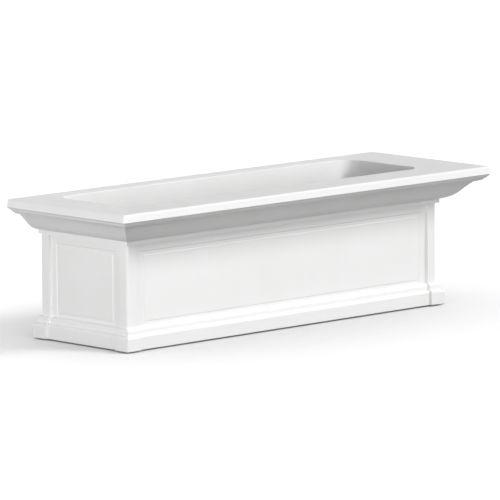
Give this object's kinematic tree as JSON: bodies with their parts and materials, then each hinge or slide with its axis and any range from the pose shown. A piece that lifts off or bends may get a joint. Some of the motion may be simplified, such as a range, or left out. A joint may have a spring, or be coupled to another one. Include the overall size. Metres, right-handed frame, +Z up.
{
  "type": "window box planter",
  "caption": "White double-wall window box with a wide rim, crown moulding, corner pilasters and stepped base, flat back, and a lift-out self-watering trough.",
  "frame": {"origin": "on the floor plane under the middle of the rim, midway between its ends and between its front edge and the wall plane", "axes": "+X along the length, to the right as seen from the front; +Y towards the wall; +Z up"},
  "size_m": [0.914, 0.312, 0.257],
  "materials": {
    "white_resin": "satin",
    "black_resin": "matte",
    "zinc_steel": "zinc plated",
    "rubber": "matte"
  },
  "bodies": {
    "casing": {"outer_casing": "white_resin", "hanger_plate_left": "zinc_steel", "hanger_plate_right": "zinc_steel", "wall_spacer_left": "white_resin", "wall_spacer_right": "white_resin", "hanger_screws": "zinc_steel", "hanger_washers": "zinc_steel", "hanger_nuts": "zinc_steel", "foot_pad_front_left": "rubber", "foot_pad_front_right": "rubber", "foot_pad_back_left": "rubber", "foot_pad_back_right": "rubber"},
    "trough": {"planting_trough": "white_resin", "overflow_pipe_left": "black_resin", "overflow_pipe_right": "black_resin", "overflow_seal_left": "rubber", "overflow_seal_right": "rubber"},
    "shelf": {"soil_shelf": "black_resin", "fill_tube": "black_resin"},
    "basket_left": {"wick_basket_left": "black_resin"},
    "basket_right": {"wick_basket_right": "black_resin"},
    "cap": {"fill_cap": "black_resin"}
  },
  "joints": [
    {"name": "trough_lift", "type": "slide", "parent": "casing", "child": "trough", "axis": [0, 0, 1], "range_m": [0, 0.26]},
    {"name": "shelf_lift", "type": "slide", "parent": "trough", "child": "shelf", "axis": [0, 0, 1], "range_m": [0, 0.25]},
    {"name": "basket_left_lift", "type": "slide", "parent": "shelf", "child": "basket_left", "axis": [0, 0, 1], "range_m": [0, 0.06]},
    {"name": "basket_right_lift", "type": "slide", "parent": "shelf", "child": "basket_right", "axis": [0, 0, 1], "range_m": [0, 0.06]},
    {"name": "cap_lift", "type": "slide", "parent": "shelf", "child": "cap", "axis": [0, 0, 1], "range_m": [0, 0.04]}
  ]
}
